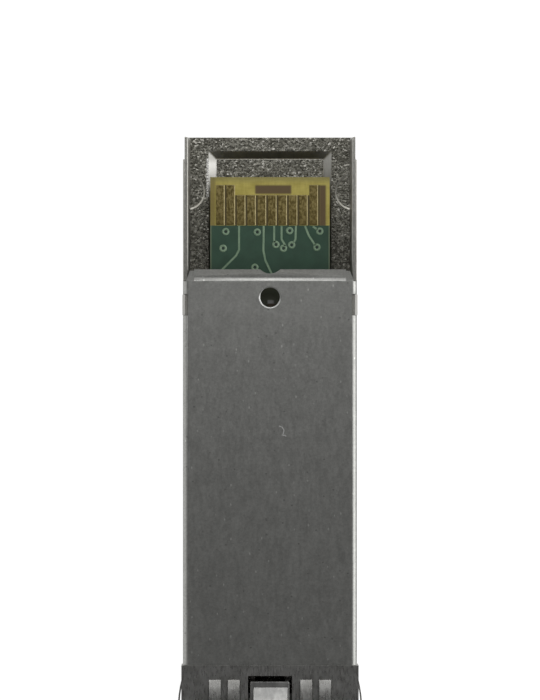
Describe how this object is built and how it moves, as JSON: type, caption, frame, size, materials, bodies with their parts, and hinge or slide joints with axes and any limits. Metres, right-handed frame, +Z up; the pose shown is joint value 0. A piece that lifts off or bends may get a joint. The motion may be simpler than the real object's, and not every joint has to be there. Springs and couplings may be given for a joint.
{
  "type": "sfp transceiver",
  "caption": "Small pluggable optical transceiver: die-cast housing, folded steel cover, card-edge board, duplex fibre ports, sprung latch and wire bail.",
  "frame": {"origin": "on the label side that the module rests on, midway across, under the shoulder of the latch boss", "axes": "+X across, to the right in the picture; +Y along the module towards the card edge; +Z up, out of the cover side"},
  "size_m": [0.0146, 0.0576, 0.0094],
  "materials": {
    "plated_casting": "zinc die casting, nickel plated, grainy as cast",
    "cover_steel": "satin rolled sheet, light handling marks",
    "board": "green solder mask over glass-fibre laminate",
    "gold": "gold over nickel, wiped by contacts",
    "turned_steel": "turned stainless",
    "zirconia": "ground white ceramic",
    "can_steel": "plated, smooth",
    "polyimide": "amber film",
    "spring_steel": "bright spring strip",
    "chip_resin": "moulded black resin",
    "capacitor_ceramic": "fired ceramic",
    "resistor_film": "glazed black",
    "ferrite": "dark ferrite",
    "lever_steel": "tumbled, plated",
    "bail_wire": "drawn stainless wire"
  },
  "bodies": {
    "module": {"housing": "plated_casting", "bottom_cover": "cover_steel", "circuit_board": "board", "contact_pads_lower": "gold", "contact_pads_upper": "gold", "transmitter_barrel": "turned_steel", "transmitter_sleeve": "zirconia", "transmitter_can": "can_steel", "transmitter_flex": "polyimide", "receiver_barrel": "turned_steel", "receiver_sleeve": "zirconia", "receiver_can": "can_steel", "receiver_flex": "polyimide", "optics_clamp": "spring_steel", "laser_driver_chip": "chip_resin", "receive_amplifier_chip": "chip_resin", "controller_chip": "chip_resin", "memory_chip": "chip_resin", "chip_capacitors": "capacitor_ceramic", "chip_resistors": "resistor_film", "filter_inductors": "ferrite", "shield_collar": "spring_steel", "latch_pivot_pin": "turned_steel", "latch_spring": "spring_steel"},
    "latch": {"latch_lever": "lever_steel"},
    "bail": {"bail": "bail_wire"}
  },
  "joints": [
    {"name": "bail_pivot", "type": "hinge", "parent": "module", "child": "bail", "pos_m": [0, -0.0103, 0.00809], "axis": [-1, 0, 0], "range_deg": [0, 90]},
    {"name": "latch_rock", "type": "hinge", "parent": "module", "child": "latch", "pos_m": [0, -0.0052, 0.00795], "axis": [-1, 0, 0], "range_deg": [0, 6.2], "deforming": ["latch_spring"]}
  ],
  "couplings": [
    {"joint": "latch_rock", "follows": "bail_pivot", "ratio": 0.068}
  ]
}
